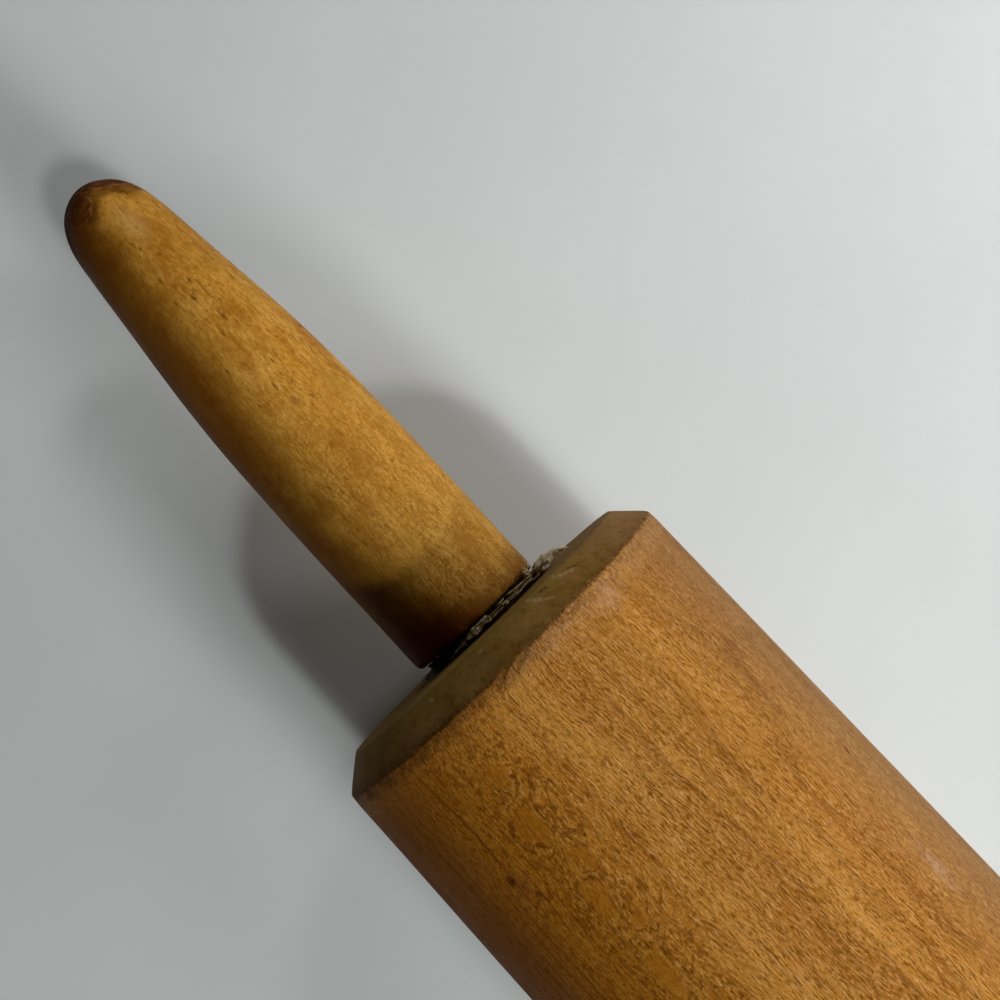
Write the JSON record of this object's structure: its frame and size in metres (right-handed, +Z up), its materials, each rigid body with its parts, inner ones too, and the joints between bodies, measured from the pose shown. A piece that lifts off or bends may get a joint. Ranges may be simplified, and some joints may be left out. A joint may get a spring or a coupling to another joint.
{
  "type": "rolling pin",
  "caption": "Wooden rolling pin: chamfered hardwood barrel that turns on a steel rod through flanged bushings, with a long tapered round-tipped handle at each end.",
  "frame": {"origin": "on the worktop, straight under the middle of the barrel", "axes": "+X along the turning axis, +Z up; the turning axis is level, one barrel radius above the origin"},
  "size_m": [0.472, 0.07, 0.07],
  "materials": {
    "barrel_wood": "oiled maple or beech, worn, with fine short flecks along the grain",
    "handle_wood": "amber varnish, rubbed thin, dark stains at the tip and the base",
    "rod_steel": "plain drawn bar",
    "washer_steel": "plain pressed washer, dulled",
    "bushing_plastic": "off-white engineering plastic"
  },
  "bodies": {
    "barrel": {"barrel": "barrel_wood", "left_bushing": "bushing_plastic", "right_bushing": "bushing_plastic"},
    "handles": {"axle_rod": "rod_steel", "left_washer": "washer_steel", "right_washer": "washer_steel", "left_handle": "handle_wood", "right_handle": "handle_wood"}
  },
  "joints": [
    {"name": "handles_spin", "type": "hinge", "parent": "barrel", "child": "handles", "pos_m": [0, 0, 0.035], "axis": [1, 0, 0], "continuous": true}
  ]
}
